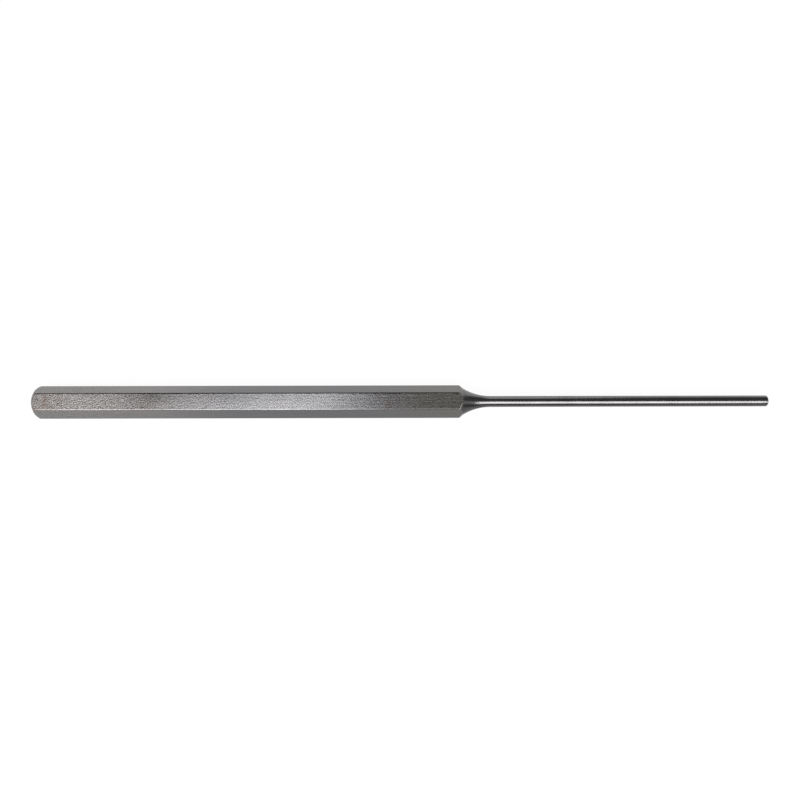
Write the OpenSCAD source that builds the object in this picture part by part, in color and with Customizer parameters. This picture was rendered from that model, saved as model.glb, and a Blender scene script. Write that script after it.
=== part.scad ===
// Long pin punch: one bar of hexagonal tool steel, turned down at one end to a slim parallel pin.
// The tool lies on one flat of its hexagon. X runs from the struck end to the tip, Z is up,
// and the origin is on the surface below the middle of the length. Sizes are in millimetres.
// The shank and the pin are two lengths of the same bar. They meet where the fillet runs out.

/* [Overall] */
// Length from the top of the struck end to the tip
overall_length = 203.2; // [170:0.1:300]

/* [Shank] */
// Hexagonal bar, measured across its flats
across_flats = 7.94; // [6:0.01:10]
// How much the six sharp corners of the bar are taken down
corner_break = 0.06; // [0.02:0.01:0.2]
// Length of full hexagon, from the top of the struck end to where the corners are first cut
shank_length = 118; // [80:0.1:140]
// How far the domed struck end rises from the corners of the hexagon to its top
dome_height = 2; // [1:0.05:3.2]

/* [Shoulder] */
// Slope of the turned chamfer that ends the hexagon, from the axis
chamfer_angle = 40; // [39:1:60]
// How far the chamfer cuts in below the flats before the fillet takes over
chamfer_depth = 0.1; // [0.05:0.05:0.6]
// Slope at which the hollow fillet leaves the chamfer on its way down to the pin
fillet_angle = 33; // [20:1:38]

/* [Pin] */
// Diameter of the parallel pin
pin_diameter = 3.05; // [1.5:0.01:5]
// Rounding of the edge of the tip
tip_radius = 0.4; // [0.1:0.05:0.7]

/* [Hidden] */
$fn = 96;

// The hexagon reaches this far to its flats and to its broken corners
flat_reach = across_flats / 2;
corner_reach = flat_reach / cos(30) - corner_break;

// The dome is part of a sphere whose top touches the end of the tool
dome_radius = (pow(corner_reach, 2) + pow(dome_height, 2)) / (2 * dome_height);

// The chamfer is part of a cone that would run on to the pin if the fillet didn't take over
pin_radius = pin_diameter / 2;
shoulder_radius = flat_reach - chamfer_depth;
shoulder_end = shank_length + (corner_reach - shoulder_radius) / tan(chamfer_angle);
cone_end = shank_length + (corner_reach - pin_radius) / tan(chamfer_angle);

// The fillet falls from the shoulder to the pin and meets the pin without a step
fillet_radius = (shoulder_radius - pin_radius) / (1 - cos(fillet_angle));
pin_start = shoulder_end + fillet_radius * sin(fillet_angle);

// The tip has a flat face inside its rounded edge
tip_flat = pin_radius - tip_radius;
tip_edge = overall_length - tip_radius;

// The bar as it is bought, longer than the tool at both ends, with a flat below
module bar() {
    translate([0, 0, -across_flats])
        linear_extrude(overall_length + 2 * across_flats)
            rotate(30) circle(flat_reach / cos(30), $fn = 6);
}

// Outlines that are turned have the radius along their first axis and the distance from the
// struck end along their second. Each stretch of the tool has one.
module dome_outline() {
    intersection() {
        translate([0, dome_radius]) circle(dome_radius);
        square([corner_reach, dome_radius]);
    }
}

module chamfer_outline() {
    polygon([
        [0, dome_radius],
        [corner_reach, dome_radius],
        [corner_reach, shank_length],
        [pin_radius, cone_end],
        [0, cone_end],
    ]);
}

module fillet_outline() {
    root = shoulder_radius + chamfer_depth / 2;
    difference() {
        polygon([[0, shank_length], [root, shank_length], [root, pin_start], [0, pin_start]]);
        translate([pin_radius + fillet_radius, pin_start]) circle(fillet_radius);
    }
}

module pin_outline() {
    polygon([
        [0, pin_start],
        [pin_radius, pin_start],
        [pin_radius, tip_edge],
        [tip_flat, tip_edge],
        [tip_flat, overall_length],
        [0, overall_length],
    ]);
    translate([tip_flat, tip_edge]) intersection() {
        circle(tip_radius);
        square(tip_radius);
    }
}

// Lays what is drawn upright along X, on a flat, with the middle of its length over the origin
module lay_down() {
    translate([-overall_length / 2, 0, flat_reach]) rotate([0, 90, 0]) children();
}

// The hexagonal shank: what turning the dome, the chamfer and the fillet leaves of the bar
module shank() {
    color("#7d7a78") lay_down() intersection() {
        bar();
        rotate_extrude() {
            dome_outline();
            chamfer_outline();
            fillet_outline();
        }
    }
}

// The parallel pin, from the end of the fillet to the tip
module pin() {
    color("#6b6a69") lay_down() rotate_extrude() pin_outline();
}

shank();
pin();
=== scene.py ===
import math

import bpy
import numpy as np
from mathutils import Matrix, Vector


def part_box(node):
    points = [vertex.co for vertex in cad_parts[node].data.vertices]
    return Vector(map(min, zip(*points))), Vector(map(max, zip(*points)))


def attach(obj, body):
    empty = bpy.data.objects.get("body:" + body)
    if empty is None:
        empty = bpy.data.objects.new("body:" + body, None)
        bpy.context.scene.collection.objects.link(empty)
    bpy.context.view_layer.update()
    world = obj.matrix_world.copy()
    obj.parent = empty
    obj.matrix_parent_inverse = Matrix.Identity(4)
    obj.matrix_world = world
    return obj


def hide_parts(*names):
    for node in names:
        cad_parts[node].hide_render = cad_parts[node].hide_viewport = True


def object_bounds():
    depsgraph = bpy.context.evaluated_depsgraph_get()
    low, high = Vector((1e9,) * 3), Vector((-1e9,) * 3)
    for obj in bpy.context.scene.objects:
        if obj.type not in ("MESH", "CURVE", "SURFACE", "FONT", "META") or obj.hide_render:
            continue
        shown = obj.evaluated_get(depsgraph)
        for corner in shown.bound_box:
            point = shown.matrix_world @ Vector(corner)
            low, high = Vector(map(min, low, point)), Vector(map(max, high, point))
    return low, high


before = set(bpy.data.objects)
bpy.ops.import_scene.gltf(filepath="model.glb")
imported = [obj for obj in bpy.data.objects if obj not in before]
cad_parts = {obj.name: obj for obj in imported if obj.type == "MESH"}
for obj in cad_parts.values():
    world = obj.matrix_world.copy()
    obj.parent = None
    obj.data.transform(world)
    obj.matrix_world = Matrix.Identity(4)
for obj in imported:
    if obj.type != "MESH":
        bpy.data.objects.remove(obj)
cadLow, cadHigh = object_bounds()
mm = 0.001
print("frame loaded:", sorted(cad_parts))


# Camera: straight down on the flat that faces up, a little towards the near side
cameraSet = {
    "elevation": 87.5,  # degrees above the surface
    "roll": 0.13,  # degrees, the tip lies a little higher in the picture than the struck end
    "lens": 35.0,  # mm
    "sensor": 36.0,  # mm
    "clipStart": 10 * mm,
    "pictureWidth": 221.7 * mm,  # what the picture takes in at the tool's axis
    "aimOffset": (0.05 * mm, 0.467 * mm, 0.0),  # from the middle of the tool
}


def makeCamera(s):
    data = bpy.data.cameras.new("camera")
    data.lens = s["lens"]
    data.sensor_width = s["sensor"]
    data.clip_start = s["clipStart"]
    aim = (cadLow + cadHigh) / 2 + Vector(s["aimOffset"])
    rise = math.radians(s["elevation"])
    back = Vector((0.0, -math.cos(rise), math.sin(rise)))
    distance = s["pictureWidth"] * s["lens"] / s["sensor"]
    camera = bpy.data.objects.new("camera", data)
    turn = (-back).to_track_quat("-Z", "Y").to_matrix().to_4x4()
    camera.matrix_world = (
        Matrix.Translation(aim + back * distance)
        @ turn
        @ Matrix.Rotation(math.radians(-s["roll"]), 4, "Z")
    )
    bpy.context.collection.objects.link(camera)
    bpy.context.scene.camera = camera
    print("camera", round(distance, 3), "m away")


makeCamera(cameraSet)
bpy.context.scene.view_settings.view_transform = "Standard"


# Light: soft panels round a dark room. Each panel is given by where it stands, seen from the tool,
# in degrees from straight overhead along X and along Y, by its own width and height in the same way,
# by its distance in metres and by how bright it looks (1 is white).
lightSet = {
    "frontPanel": {"lean": (0, -28), "spread": (70, 38), "distance": 0.9, "level": 3.8},
    "overheadPanel": {"lean": (-11.8, 2.5), "spread": (16.6, 12), "distance": 0.9, "level": 4.2},
    "overheadStrip": {"lean": (-28, 2.5), "spread": (16, 5), "distance": 0.9, "level": 4.0},
    "backPanel": {"lean": (29, 73), "spread": (14, 30), "distance": 1.2, "level": 0.9},
    "leftPanel": {"lean": (-62, 0), "spread": (38, 100), "distance": 1.0, "level": 0.7},
    "rightPanel": {"lean": (54, -18), "spread": (44, 20), "distance": 1.0, "level": 0.4},
}
whitePower = 4.0  # watts for each square metre of a panel that looks white


def makePanel(name, s):
    data = bpy.data.lights.new(name, "AREA")
    data.shape = "RECTANGLE"
    data.size, data.size_y = (2 * s["distance"] * math.tan(math.radians(w) / 2) for w in s["spread"])
    data.energy = s["level"] * whitePower * data.size * data.size_y
    panel = bpy.data.objects.new(name, data)
    leanX, leanY = (math.radians(w) for w in s["lean"])
    away = Vector((math.tan(leanX), math.tan(leanY), 1.0)).normalized()
    up = away.cross(Vector((1.0, 0.0, 0.0))).normalized()
    turn = Matrix((up.cross(away), up, away)).transposed().to_4x4()
    panel.matrix_world = Matrix.Translation(away * s["distance"]) @ turn
    bpy.context.collection.objects.link(panel)


for panelName, panelSet in lightSet.items():
    makePanel(panelName, panelSet)
print("lit by", len(lightSet), "panels")


# From an sRGB hex colour to a linear one, by the sRGB curve
def toLinear(hexColour):
    s = np.array([int(hexColour[i:i + 2], 16) for i in (1, 3, 5)]) / 255
    linear = np.where(s <= 0.04045, s / 12.92, ((s + 0.055) / 1.055) ** 2.4)
    return (*linear.tolist(), 1.0)


# Inputs come in a list, in the node's own order, or in a dictionary by number or name. A socket is
# linked, a node stands for its first output, and anything else is a fixed value.
def setInputs(tree, node, inputs):
    pairs = inputs.items() if isinstance(inputs, dict) else enumerate(inputs)
    for key, value in pairs:
        source = value.outputs[0] if isinstance(value, bpy.types.Node) else value
        if isinstance(source, bpy.types.NodeSocket):
            tree.links.new(source, node.inputs[key])
        else:
            node.inputs[key].default_value = source


def addNode(tree, kind, inputs=(), **settings):
    node = tree.nodes.new("ShaderNode" + kind)
    for key, value in settings.items():
        setattr(node, key, value)
    setInputs(tree, node, inputs)
    return node


# Sockets by number: a Mix node's factor and plain values, its colours with the one that it gives, and
# the factor of a vector node that scales
mixFactor, mixFrom, mixTo = 0, 2, 3
mixBase, mixTint, mixColour = 6, 7, 2
scaleBy = 3


# A colour, or a share, that runs along the bar from one station to the next. Stations are in mm along X.
# A ramp holds no share above 1, so shares are held as parts of the largest.
def alongBar(tree, axes, table):
    places = list(table)
    first, last = places[0], places[-1]
    node = addNode(tree, "ValToRGB", [addNode(tree, "MapRange", [axes["X"], first * mm, last * mm])])
    for place in places[1:-1]:
        node.color_ramp.elements.new((place - first) / (last - first))
    inColour = isinstance(table[first], str)
    most = 1.0 if inColour else max(table.values())
    for element, value in zip(node.color_ramp.elements, table.values()):
        element.color = toLinear(value) if inColour else (value / most, value / most, value / most, 1.0)
    return node if inColour else addNode(tree, "Math", [node, most], operation="MULTIPLY")


# Marks left by a tool or a blast: noise with a length along the bar and a width across it, in metres
marksSet = {"Scale": 1.0, "Detail": 2.0, "Roughness": 0.6}
marksBand = (0.3, 0.7)  # nearly all of the noise lies between these


def marks(tree, place, length, width):
    stretch = (1 / length, 1 / width, 1 / width)
    stretched = addNode(tree, "VectorMath", [place, stretch], operation="MULTIPLY")
    return addNode(tree, "TexNoise", {"Vector": stretched, **marksSet})


def newMaterial(name):
    material = bpy.data.materials.new(name)
    material.use_nodes = True
    return material, material.node_tree, material.node_tree.nodes["Principled BSDF"]


# Room: dark, with the white card's far edge lifted a little all round
roomSet = {
    "level": 0.13,
    "paleLevel": 1.0,  # the card's edge
    "paleReach": (0, 13),  # degrees above the surface over which it fades into the room
}


def makeRoom(s):
    world = bpy.data.worlds.new("room")
    world.use_nodes = True
    tree = world.node_tree
    way = addNode(tree, "TexCoord").outputs["Generated"]
    height = addNode(tree, "SeparateXYZ", [way]).outputs["Z"]
    reach = [math.sin(math.radians(w)) for w in s["paleReach"]]
    level = addNode(tree, "MapRange", [height, *reach, s["paleLevel"], s["level"]])
    setInputs(tree, tree.nodes["Background"], {"Color": (1.0, 1.0, 1.0, 1.0), "Strength": level})
    bpy.context.scene.world = world


makeRoom(roomSet)
print("room made")


# Floor: a sheet of matt white card under the tool. The eye gets plain white and a soft shadow.
floorSet = {
    "half": 3.0,  # metres
    "colour": "#f6f6f6",
    "roughness": 0.9,
    "specular": 0.0,
    "glow": 0.95,  # share of plain white in what the eye and the metal see of it
}


def makeFloor(s):
    mesh = bpy.data.meshes.new("floor")
    corners = [(x * s["half"], y * s["half"], 0.0) for x, y in ((-1, -1), (1, -1), (1, 1), (-1, 1))]
    mesh.from_pydata(corners, [], [(0, 1, 2, 3)])
    floor = bpy.data.objects.new("floor", mesh)
    bpy.context.collection.objects.link(floor)
    material, tree, shader = newMaterial("matt white card")
    matt = {"Roughness": s["roughness"], "Specular IOR Level": s["specular"]}
    setInputs(tree, shader, {"Base Color": toLinear(s["colour"]), **matt})
    seen = addNode(tree, "LightPath").outputs
    sharp = addNode(tree, "Math", [seen["Is Glossy Ray"], seen["Is Transmission Ray"]], operation="MAXIMUM")
    direct = addNode(tree, "Math", [seen["Is Camera Ray"], sharp], operation="MAXIMUM")
    share = addNode(tree, "Math", [direct, s["glow"]], operation="MULTIPLY")
    glow = addNode(tree, "Emission", {"Strength": 1.0})
    mix = addNode(tree, "MixShader", [share, shader, glow])
    setInputs(tree, tree.nodes["Material Output"], {"Surface": mix})
    mesh.materials.append(material)


makeFloor(floorSet)
print("floor made")


# What the frame gives of the bar. Lengths along it count from the struck end.
shankLow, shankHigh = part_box("shank")
pinLow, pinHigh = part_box("pin")
flatReach = (shankHigh[2] - shankLow[2]) / 2
cornerReach = (shankHigh[1] - shankLow[1]) / 2
axisHeight = shankLow[2] + flatReach
struckEnd = shankLow[0]
pinStart = pinLow[0] - struckEnd
toolLength = pinHigh[0] - struckEnd
pinRadius = (pinHigh[1] - pinLow[1]) / 2


# Bead-blasted tool steel: drawn hexagonal bar, hardened, tempered and blasted. The eye gets a grey, satin
# metal whose fine grain shows where the edge of a light is mirrored, corners rubbed smooth, faint streaks
# from drawing, and a smoother, olive stretch before the shoulder. Light and shade are also painted into its
# colour: the near flats are painted darker, the flat above carries painted highlights and painted shade
# along its length (painted shade before the shoulder), the near corners and the rim above a painted
# highlight, the far corners painted shade, and the bar is painted lighter towards the struck end.
# Tables run along the bar in mm, bands across it in parts of the flats' reach.
blastedSet = {
    # painted light in part: the bar is made lighter towards the struck end, where the light falls brighter
    # from the left
    "tones": {-100: "#8b8887", -75: "#8a8786", -45: "#717072", -6: "#717072", 4: "#737170", 17: "#747170"},
    "nearShadeShares": (0.88, 0.78),  # painted shade: the near flats are made darker than the far ones, more so towards the pin
    "nearStretch": (-100 * mm, 17 * mm),
    "sideBand": (-0.8, 0.8),  # from the near flats to the far ones
    "topBand": (0.93, 0.97),  # from the side flats up to the one above
    "topFarLight": {-101: 0.84, -88: 0.92, -77: 0.75, -68: 0.44, -57: 0.78, -46: 0.87, -38: 1.1, -20: 1.18,
               -13: 0.9, -3: 0.47, 6: 0.48, 17: 0.55},  # painted highlights and painted shade along the flat above, towards its far edge
    "topNearLight": {-101: 0.87, -87: 1.04, -77: 0.91, -70: 0.72, -34: 1.48, -26: 1.45, -13: 0.98, -3: 0.55,
                6: 0.5, 17: 0.56},  # painted highlights and painted shade along the flat above, towards its near edge
    "edgeBand": (-0.3, 0.3),  # from its near edge to its far one
    "streak": (30 * mm, 0.5 * mm),
    "streakTones": (0.95, 1.05),
    "cornerLightShares": (1.25, 0.62),  # painted highlight on the near corners and painted shade on the far ones; the rubbing itself shows in their roughness and grain
    "rimHighlight": 3.0,  # painted highlight on the scalloped rim above, which is also rubbed smooth
    "stain": "#e6c8b6",  # brown bloom near the struck end and where the olive film begins
    "stainGrain": 2.0 * mm,
    "stainBand": (0.45, 0.65),  # of its noise, from bare steel to full bloom
    "stainShares": {-97: 0.7, -91: 0.08, -75: 0.08, -68: 0.3, -61: 0.0, -9: 0.0, -4: 0.3, 2: 0.2, 4: 0.0},
    "film": "#fdfef6",  # olive, left by tempering
    "filmStart": (1 * mm, 7 * mm),
    "grain": 0.34 * mm,  # blasting leaves pits of about 0.1 mm, drawn coarser so that they show
    "grainDepth": 0.26 * mm,
    "grainShares": {-80: 1.0, -64: 0.45, -20: 0.17, -3: 0.4, 5: 0.15, 17: 0.12},
    "cornerGrain": 0.2,  # share of the grain that is left on rubbed corners
    "scratch": (6 * mm, 0.3 * mm),  # real ones are under 0.1 mm wide, drawn coarser so that they show
    "scratchDepth": 0.035 * mm,
    "scratchShares": {-80: 0.1, -40: 0.9, 0: 1.0, 8: 0.85, 17: 0.9},
    "roughness": 0.29,
    "cornerRoughness": 0.22,
}
onFlat, onCorner, onRim = 0.0, 1.0, 2.0  # what the mesh's values for rubbed edges with painted light stand for


def makeBlastedSteel(s):
    material, tree, shader = newMaterial("bead-blasted tool steel")
    place = addNode(tree, "TexCoord").outputs["Object"]
    axes = addNode(tree, "SeparateXYZ", [place]).outputs
    rubbedAndPaintedLight = addNode(tree, "Attribute", attribute_name="rubbedAndPaintedLight").outputs["Fac"]
    sideBand = [w * flatReach for w in s["sideBand"]]
    topBand = [axisHeight + w * flatReach for w in s["topBand"]]
    edgeBand = [w * flatReach for w in s["edgeBand"]]

    # How light each flat and edge is painted: painted shade on the near flats, painted highlights and
    # painted shade along the flat above, a painted highlight on the near corners and the rim, painted
    # shade on the far corners
    nearShadeShare = addNode(tree, "MapRange", [axes["X"], *s["nearStretch"], *s["nearShadeShares"]])
    farness = addNode(tree, "MapRange", [axes["Y"], *sideBand])
    side = addNode(tree, "Mix", {mixFactor: farness, mixFrom: nearShadeShare, mixTo: 1.0})
    across = addNode(tree, "MapRange", [axes["Y"], *edgeBand])
    topLightEdges = {mixFrom: alongBar(tree, axes, s["topNearLight"]), mixTo: alongBar(tree, axes, s["topFarLight"])}
    topLightShare = addNode(tree, "Mix", {mixFactor: across, **topLightEdges})
    top = addNode(tree, "MapRange", [axes["Z"], *topBand])
    topLightTone = addNode(tree, "Mix", {mixFactor: top, mixFrom: 1.0, mixTo: topLightShare})
    streaks = marks(tree, place, *s["streak"])
    streakTone = addNode(tree, "MapRange", [streaks, *marksBand, *s["streakTones"]])
    cornerLightShare = addNode(tree, "MapRange", [axes["Y"], *edgeBand, *s["cornerLightShares"]])
    cornerLightTone = addNode(tree, "Mix", {mixFactor: rubbedAndPaintedLight, mixFrom: 1.0, mixTo: cornerLightShare})
    rim = addNode(tree, "MapRange", [rubbedAndPaintedLight, onCorner, onRim])
    edgeLightTone = addNode(tree, "Mix", {mixFactor: rim, mixFrom: cornerLightTone, mixTo: s["rimHighlight"]})
    share = side
    for tone in (topLightTone, streakTone, edgeLightTone):
        share = addNode(tree, "Math", [share, tone], operation="MULTIPLY")
    bare = {0: alongBar(tree, axes, s["tones"]), scaleBy: share}
    colour = addNode(tree, "VectorMath", bare, operation="SCALE")

    # What tempering and handling left on the flat above
    bloom = addNode(tree, "MapRange", [marks(tree, place, s["stainGrain"], s["stainGrain"]), *s["stainBand"]])
    stained = addNode(tree, "Math", [bloom, alongBar(tree, axes, s["stainShares"])], operation="MULTIPLY")
    filmed = addNode(tree, "MapRange", [axes["X"], *s["filmStart"]])
    for cover, tint in ((stained, s["stain"]), (filmed, s["film"])):
        onTop = addNode(tree, "Math", [cover, top], operation="MULTIPLY")
        inputs = {mixFactor: onTop, mixBase: colour, mixTint: toLinear(tint)}
        tinted = addNode(tree, "Mix", inputs, data_type="RGBA", blend_type="MULTIPLY")
        colour = tinted.outputs[mixColour]

    # Grain from blasting, with scratches over it
    cornerGrain = addNode(tree, "MapRange", [rubbedAndPaintedLight, onFlat, onCorner, 1.0, s["cornerGrain"]])
    grainShare = alongBar(tree, axes, s["grainShares"])
    strength = addNode(tree, "Math", [grainShare, cornerGrain], operation="MULTIPLY")
    grain = marks(tree, place, s["grain"], s["grain"])
    grained = addNode(tree, "Bump", {"Strength": strength, "Distance": s["grainDepth"], "Height": grain})
    scratches = {
        "Strength": alongBar(tree, axes, s["scratchShares"]),
        "Distance": s["scratchDepth"],
        "Height": marks(tree, place, *s["scratch"]),
        "Normal": grained,
    }
    scratched = addNode(tree, "Bump", scratches)
    satin = [rubbedAndPaintedLight, onFlat, onCorner, s["roughness"], s["cornerRoughness"]]
    roughness = addNode(tree, "MapRange", satin)
    finish = {"Base Color": colour, "Metallic": 1.0, "Roughness": roughness, "Normal": scratched}
    setInputs(tree, shader, finish)
    return material


# Turned and ground tool steel: the shoulder, the fillet and the pin. The eye gets a sharper
# streak of light along it and dark sides, broken a little by the marks that run round it. Its near
# side is painted darker, a painted shade.
groundSet = {
    "colour": "#737172",
    "roughness": {17: 0.26, 26: 0.2},  # the fillet is left as turned, the pin is ground
    "ring": (0.5 * mm, 4 * mm),  # real marks are about 0.1 mm apart, drawn coarser so that they show
    "ringDepth": 0.035 * mm,
    "cloud": (6 * mm, 6 * mm),
    "cloudTones": (0.9, 1.1),
    "nearShadeShare": 0.5,  # painted shade: the near side is made darker, as on the hexagon
    "nearBand": (-0.9, -0.4),  # in parts of the pin's radius, from the side with the painted shade to the rest
}


def makeGroundSteel(s):
    material, tree, shader = newMaterial("turned and ground tool steel")
    place = addNode(tree, "TexCoord").outputs["Object"]
    axes = addNode(tree, "SeparateXYZ", [place]).outputs
    nearBand = [w * pinRadius for w in s["nearBand"]]
    near = addNode(tree, "MapRange", [axes["Y"], *nearBand, s["nearShadeShare"], 1.0])
    clouds = marks(tree, place, *s["cloud"])
    cloudTone = addNode(tree, "MapRange", [clouds, *marksBand, *s["cloudTones"]])
    share = addNode(tree, "Math", [near, cloudTone], operation="MULTIPLY")
    colour = addNode(tree, "VectorMath", {0: toLinear(s["colour"])[:3], scaleBy: share}, operation="SCALE")
    rings = marks(tree, place, *s["ring"])
    ringed = addNode(tree, "Bump", {"Distance": s["ringDepth"], "Height": rings})
    roughness = alongBar(tree, axes, s["roughness"])
    finish = {"Base Color": colour, "Metallic": 1.0, "Roughness": roughness, "Normal": ringed}
    setInputs(tree, shader, finish)
    return material


blastedSteel = makeBlastedSteel(blastedSet)
groundSteel = makeGroundSteel(groundSet)
print("steels made")


# The bar's section, once round, as complex numbers y + iz about the axis. A flat is a straight run at
# the flats' reach. A corner is an arc whose radius follows from how far the corners reach.
sectionSet = {
    "flatColumns": 15,
    "cornerColumns": 7,
}
sideCount = 6
halfSide = math.pi / sideCount  # half the angle that one side takes up
edgeMargin = 0.04 * mm  # narrow strips that keep the flats flat up to their edges


def hexSection(s):
    slant = 1 / math.cos(halfSide)
    radius = (flatReach * slant - cornerReach) / (slant - 1)
    half = (flatReach - radius) * math.tan(halfSide)
    inner = half - edgeMargin
    run = np.concatenate([[-half], np.linspace(-inner, inner, s["flatColumns"]), [half]])
    flat = flatReach + 1j * run
    arc = np.linspace(-halfSide, halfSide, s["cornerColumns"] + 2)[1:-1]
    corner = (flatReach - radius) * slant + radius * np.exp(1j * arc)
    side = np.concatenate([flat, corner * np.exp(1j * halfSide)])
    turns = np.exp(1j * halfSide * (1 + 2 * np.arange(sideCount)))
    sideRubbedAndPaintedLight = np.where(np.arange(len(side)) < len(flat), onFlat, onCorner)
    return (turns[:, None] * side[None, :]).ravel(), np.tile(sideRubbedAndPaintedLight, sideCount)


# A rounded corner in the profile: a quadratic curve from back along the way in to on along the way out.
# corner, wayIn and wayOut are complex numbers x + ir, one for each column.
def roundedCorner(corner, wayIn, wayOut, reach, rows):
    t = np.linspace(0, 1, rows)[:, None]
    return (
        (1 - t) ** 2 * (corner - wayIn * reach)
        + 2 * t * (1 - t) * corner
        + t ** 2 * (corner + wayOut * reach)
    )


# Evenly spaced rows that run straight from start to end and leave out both ends
def between(start, end, rows):
    t = np.linspace(0, 1, rows + 2)[1:-1, None]
    return start + (end - start) * t


# The shank's surface over u along the bar and v round it. In each column the profile x + ir is a
# circle's arc for the dome, the hexagon's own radius for the flat, a slope for the chamfer and a
# hollow arc for the fillet, so the scalloped edges lie on grid lines. Where a row is the same in
# every column, adding 0 * reachOut repeats it.
shankSet = {
    "shankLength": 118.0 * mm,  # struck end to where the corners are first cut
    "domeHeight": 2.0 * mm,
    "domeEdge": 0.3 * mm,  # rounding where the dome meets the hexagon
    "chamferAngle": math.radians(40),
    "chamferDepth": 0.1 * mm,
    "chamferEdge": 0.14 * mm,  # rounding of the scalloped edge
    "rimWidth": 0.1 * mm,  # how far the flat beside it is rubbed and given the painted highlight
    "rimAbove": 0.97,  # in parts of the flats' reach, the height from which the rim is rubbed and given the painted highlight
    "filletAngle": math.radians(33),
    "domeRows": 26,
    "edgeRows": 7,
    "flatRows": 120,
    "chamferRows": 5,
    "filletRows": 50,
}


def shankProfile(s, reachOut):
    domeRadius = (cornerReach ** 2 + s["domeHeight"] ** 2) / (2 * s["domeHeight"])
    domeAngle = np.arcsin(reachOut / domeRadius)
    domeCorner = domeRadius * (1 - np.cos(domeAngle)) + 1j * reachOut
    domeWay = np.exp(1j * (math.pi / 2 - domeAngle))
    sweep = np.linspace(0, 1, s["domeRows"])[:, None] * (domeAngle - s["domeEdge"] / domeRadius)
    dome = domeRadius * (1 - np.cos(sweep)) + 1j * domeRadius * np.sin(sweep)
    domeEdge = roundedCorner(domeCorner, domeWay, 1.0, s["domeEdge"], s["edgeRows"])[1:]

    fall = math.tan(s["chamferAngle"])
    chamferWay = np.exp(-1j * s["chamferAngle"])
    chamferCorner = s["shankLength"] + (cornerReach - reachOut) / fall + 1j * reachOut
    chamferEdge = roundedCorner(chamferCorner, 1.0, chamferWay, s["chamferEdge"], s["edgeRows"])
    rimStart = chamferEdge[:1] - np.array([[s["rimWidth"] + edgeMargin], [s["rimWidth"]]])
    flat = between(domeEdge[-1], rimStart[0], s["flatRows"])

    shoulder = flatReach - s["chamferDepth"]
    filletRadius = (shoulder - pinRadius) / (1 - math.cos(s["filletAngle"]))
    bend = np.linspace(s["filletAngle"], 0, s["filletRows"])[:, None]
    filletOut = pinRadius + filletRadius * (1 - np.cos(bend))
    fillet = pinStart - filletRadius * np.sin(bend) + 1j * filletOut + 0 * reachOut
    chamfer = between(chamferEdge[-1], fillet[0], s["chamferRows"])
    inside = pinStart + 0j * reachOut[None, :]
    return [dome, domeEdge, flat, rimStart, chamferEdge], [chamfer, fillet, inside]


# The pin's surface, made the same way: a straight run, a quarter circle at the tip and a flat face.
pinSet = {
    "tipRadius": 0.4 * mm,
    "pinRows": 80,
    "tipRows": 11,
    "faceRows": 4,
}


def pinProfile(s, reachOut):
    inside = pinStart + 0j * reachOut[None, :]
    start = inside + 1j * pinRadius
    tipEdge = toolLength - s["tipRadius"]
    tipFlat = pinRadius - s["tipRadius"]
    bend = np.linspace(0, math.pi / 2, s["tipRows"])[:, None]
    tip = tipEdge + 1j * tipFlat + s["tipRadius"] * np.exp(1j * (math.pi / 2 - bend)) + 0 * reachOut
    run = between(start, tip[0], s["pinRows"])
    face = between(tip[-1], toolLength + 0 * reachOut, s["faceRows"])
    end = toolLength + 0j * reachOut[None, :]
    return [inside, start, run, tip, face, end]


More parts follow.
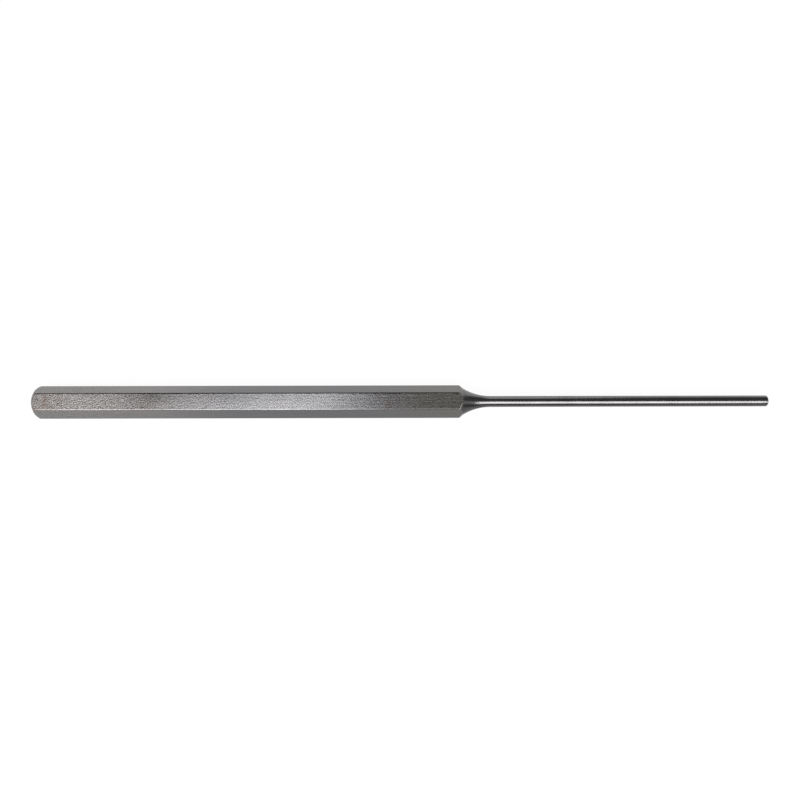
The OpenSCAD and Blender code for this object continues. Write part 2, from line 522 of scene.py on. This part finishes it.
# A closed mesh over the grid: first and last rows are poles, the rest are rings that close on themselves.
# One ring may be sharp, where two pieces meet.
def makePiece(name, section, rubbedAndPaintedLight, profile, materials, rowMaterial, sharpRow):
    around = section / np.abs(section)
    ring = profile[1:-1]
    points = np.stack(
        [struckEnd + ring.real, ring.imag * around.real, axisHeight + ring.imag * around.imag], axis=-1
    ).reshape(-1, 3)
    poles = [[struckEnd + profile[k, 0].real, 0, axisHeight] for k in (0, -1)]
    points = np.concatenate([points, poles])
    rows, columns = ring.shape
    here = np.arange(rows * columns).reshape(rows, columns)
    beside = np.roll(here, -1, axis=1)
    quads = np.stack([here[:-1], beside[:-1], beside[1:], here[1:]], axis=-1).reshape(-1, 4)
    firstFan = np.stack([np.full(columns, rows * columns), beside[0], here[0]], axis=-1)
    lastFan = np.stack([np.full(columns, rows * columns + 1), here[-1], beside[-1]], axis=-1)
    mesh = bpy.data.meshes.new(name)
    mesh.from_pydata(points.tolist(), [], quads.tolist() + firstFan.tolist() + lastFan.tolist())
    mesh.shade_smooth()
    for material in materials:
        mesh.materials.append(material)
    fanMaterial = [rowMaterial[0], rowMaterial[-1]]
    index = np.repeat(np.concatenate([rowMaterial[:-1], fanMaterial]), columns)
    mesh.polygons.foreach_set("material_index", index.astype(np.int32))
    ends = np.empty(len(mesh.edges) * 2, dtype=np.int32)
    mesh.edges.foreach_get("vertices", ends)
    sharp = np.isin(ends.reshape(-1, 2), here[sharpRow]).all(axis=1)
    mesh.edges.foreach_set("use_edge_sharp", sharp)
    # The mask of rubbed edges that also carry painted light, one value for each point
    values = np.append(rubbedAndPaintedLight[1:-1].ravel(), [onFlat, onFlat]).astype(np.float32)
    mesh.attributes.new("rubbedAndPaintedLight", "FLOAT", "POINT").data.foreach_set("value", values)
    mesh.update()
    piece = bpy.data.objects.new(name, mesh)
    bpy.context.collection.objects.link(piece)
    return piece


section, sectionRubbedAndPaintedLight = hexSection(sectionSet)
hexRows, turnedRows = shankProfile(shankSet, np.abs(section))
shankRows = np.concatenate(hexRows + turnedRows)
hexCount = sum(len(r) for r in hexRows)
steels = [blastedSteel, groundSteel]
shankMaterial = np.where(np.arange(1, len(shankRows) - 1) < hexCount, 0, 1)
# Corners are rubbed and carry painted light; the rim above is rubbed and carries a brighter painted highlight
shankRubbedAndPaintedLight = np.tile(sectionRubbedAndPaintedLight, (len(shankRows), 1))
rimCount = shankSet["edgeRows"] + 1  # the rounded edge and the row before it
isAbove = section.imag > shankSet["rimAbove"] * flatReach
shankRubbedAndPaintedLight[hexCount - rimCount:hexCount] = np.where(isAbove, onRim, sectionRubbedAndPaintedLight)
shank = makePiece("shank_bar", section, shankRubbedAndPaintedLight, shankRows, steels, shankMaterial, -1)

pinRows = np.concatenate(pinProfile(pinSet, np.abs(section)))
pinMaterial = np.zeros(len(pinRows) - 2)
pinRubbedAndPaintedLight = np.full(pinRows.shape, onFlat)
pin = makePiece("drive_pin", section, pinRubbedAndPaintedLight, pinRows, [groundSteel], pinMaterial, 0)

for piece, node in ((shank, "shank"), (pin, "pin")):
    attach(piece, "root")
    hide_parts(node)
    print(piece.name, len(piece.data.polygons), "faces")
